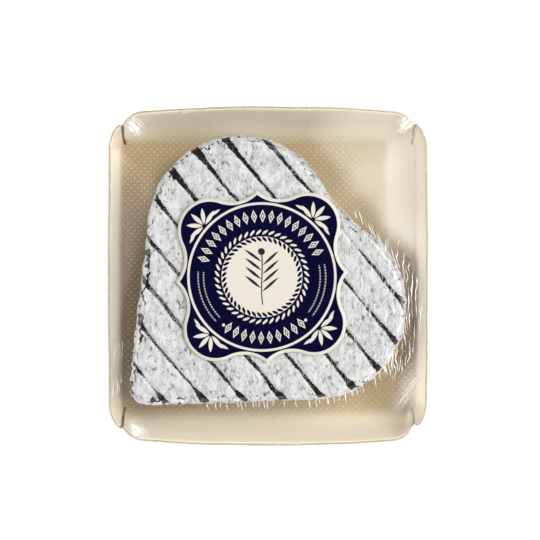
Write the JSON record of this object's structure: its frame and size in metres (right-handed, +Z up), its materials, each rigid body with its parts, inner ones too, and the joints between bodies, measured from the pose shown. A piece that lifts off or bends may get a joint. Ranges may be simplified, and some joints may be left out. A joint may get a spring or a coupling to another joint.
{
  "type": "packed ash-coated cheese",
  "caption": "Heart-shaped soft cheese with an ash-streaked white rind, on a shallow pressed board tray, shrink-wrapped in clear film under a die-cut round-cornered label.",
  "frame": {"origin": "middle of the underside of the wrapped tray", "axes": "+Z up; +X across the tray and +Y along it, with the heart's point towards -X and -Y"},
  "size_m": [0.1084, 0.1148, 0.0262],
  "materials": {
    "tray": "tan laminated board with a fine pattern of paler dots, satin",
    "cheese": "wrinkled white rind dusted with grey ash, black in the rack's grooves",
    "film": "clear glossy shrink film",
    "label": "navy and cream print on coated paper"
  },
  "bodies": {
    "root": {"tray": "tray", "cheese": "cheese", "film": "film", "label": "label"}
  },
  "joints": []
}
